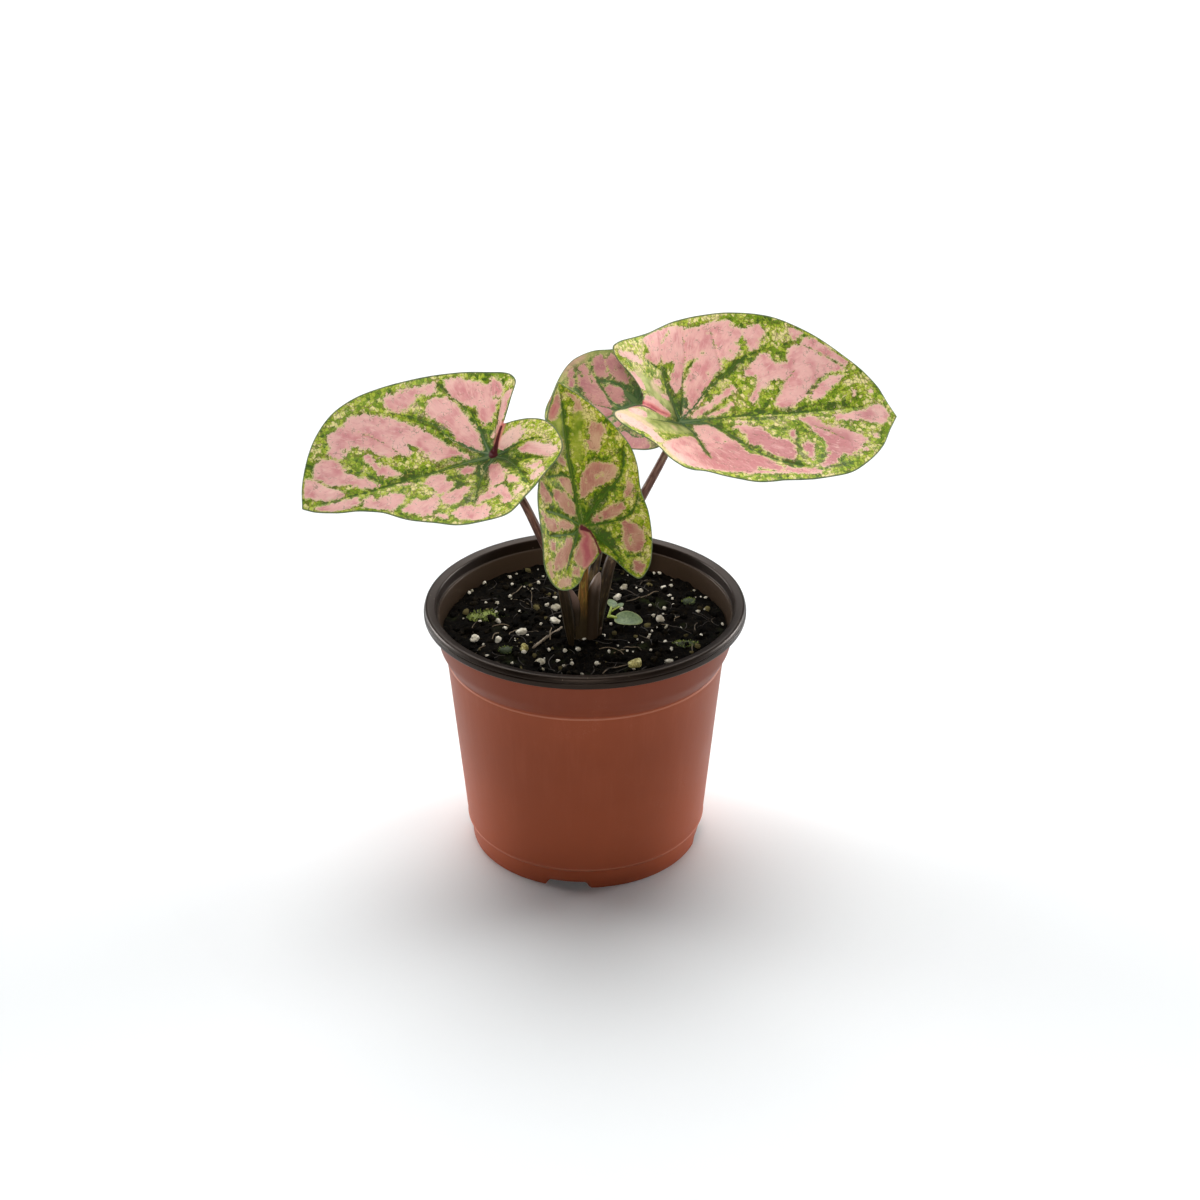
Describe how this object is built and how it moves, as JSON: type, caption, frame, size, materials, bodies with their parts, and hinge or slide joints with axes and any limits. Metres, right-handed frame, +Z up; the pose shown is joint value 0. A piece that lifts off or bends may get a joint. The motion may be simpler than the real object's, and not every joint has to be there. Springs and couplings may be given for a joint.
{
  "type": "potted caladium",
  "caption": "Young caladium with pink and green variegated heart-shaped leaves on slim stalks, growing in a round terracotta-coloured plastic nursery pot with a dark rim.",
  "frame": {"origin": "middle of the model's bounding box in plan, on the surface that the pot stands on; the pot's axis is 7.2 mm to the -X side of it", "axes": "+Z up; +X towards the plant's right as seen in the front view; -Y towards the viewer, +Y away"},
  "size_m": [0.1838, 0.105, 0.1802],
  "materials": {
    "pot_plastic": "satin",
    "soil": "matte",
    "tuber": "matte",
    "leaf_blade": "satin",
    "leaf_stalk": "satin",
    "new_shoot": "satin",
    "dry_scale": "matte",
    "seedling": "satin",
    "twig": "matte",
    "moss": "matte",
    "perlite": "matte",
    "bark": "matte"
  },
  "bodies": {
    "root": {"bark_chip_1": "bark", "bark_chip_2": "bark", "dry_scale_leaf": "dry_scale", "leaf_blade_back": "leaf_blade", "leaf_blade_front": "leaf_blade", "leaf_blade_left": "leaf_blade", "leaf_blade_right": "leaf_blade", "leaf_stalk_back": "leaf_stalk", "leaf_stalk_front": "leaf_stalk", "leaf_stalk_left": "leaf_stalk", "leaf_stalk_right": "leaf_stalk", "moss_tuft_far": "moss", "moss_tuft_left": "moss", "moss_tuft_near": "moss", "moss_tuft_right": "moss", "new_leaf_shoot": "new_shoot", "perlite_grain_1": "perlite", "perlite_grain_10": "perlite", "perlite_grain_2": "perlite", "perlite_grain_3": "perlite", "perlite_grain_4": "perlite", "perlite_grain_5": "perlite", "perlite_grain_6": "perlite", "perlite_grain_7": "perlite", "perlite_grain_8": "perlite", "perlite_grain_9": "perlite", "pot": "pot_plastic", "soil": "soil", "tuber_with_roots": "tuber", "twig": "twig", "weed_seedling": "seedling"}
  },
  "joints": []
}
